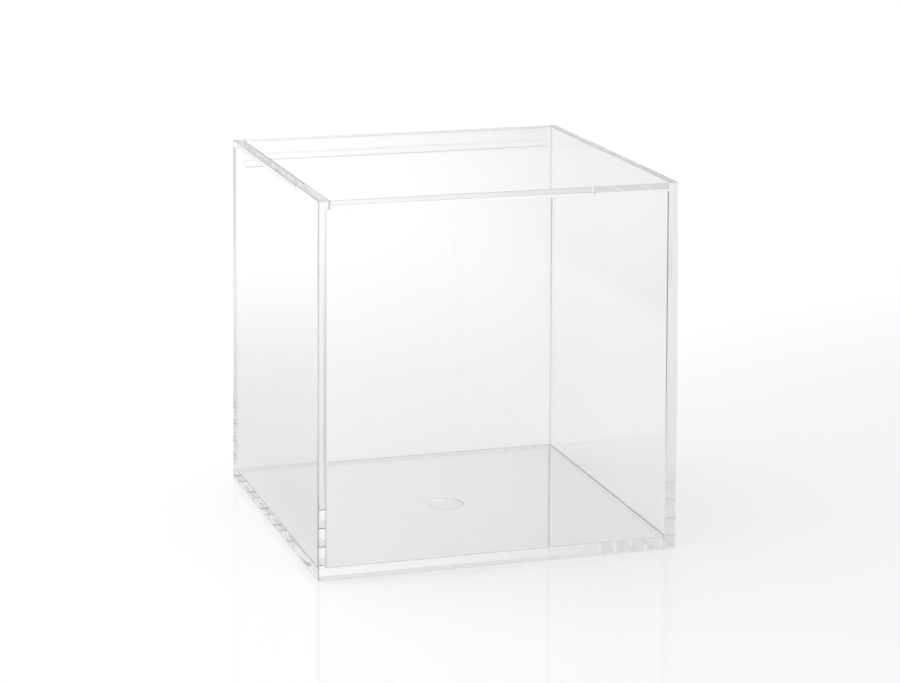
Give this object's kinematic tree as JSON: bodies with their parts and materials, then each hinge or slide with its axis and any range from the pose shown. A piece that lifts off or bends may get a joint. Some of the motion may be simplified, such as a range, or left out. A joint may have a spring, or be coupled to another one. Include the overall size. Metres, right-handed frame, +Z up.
{
  "type": "display cube",
  "caption": "Clear rigid plastic cube with polished walls and a flush lift-off lid, for showing a small object from all sides.",
  "frame": {"origin": "centre of the flat underside", "axes": "+Z up through the lid; +X to the right along the front wall; the front wall faces -Y. The lid lies between the tall walls on -X and +X and runs out flush over the low walls on -Y and +Y."},
  "size_m": [0.1016, 0.1016, 0.1016],
  "materials": {
    "clear_body": "polished, transparent",
    "clear_lid": "polished, transparent"
  },
  "bodies": {
    "box": {"box_body": "clear_body"},
    "lid": {"lid": "clear_lid"}
  },
  "joints": [
    {"name": "lid_lift", "type": "slide", "parent": "box", "child": "lid", "axis": [0, 0, 1], "range_m": [0, 0.03]}
  ]
}
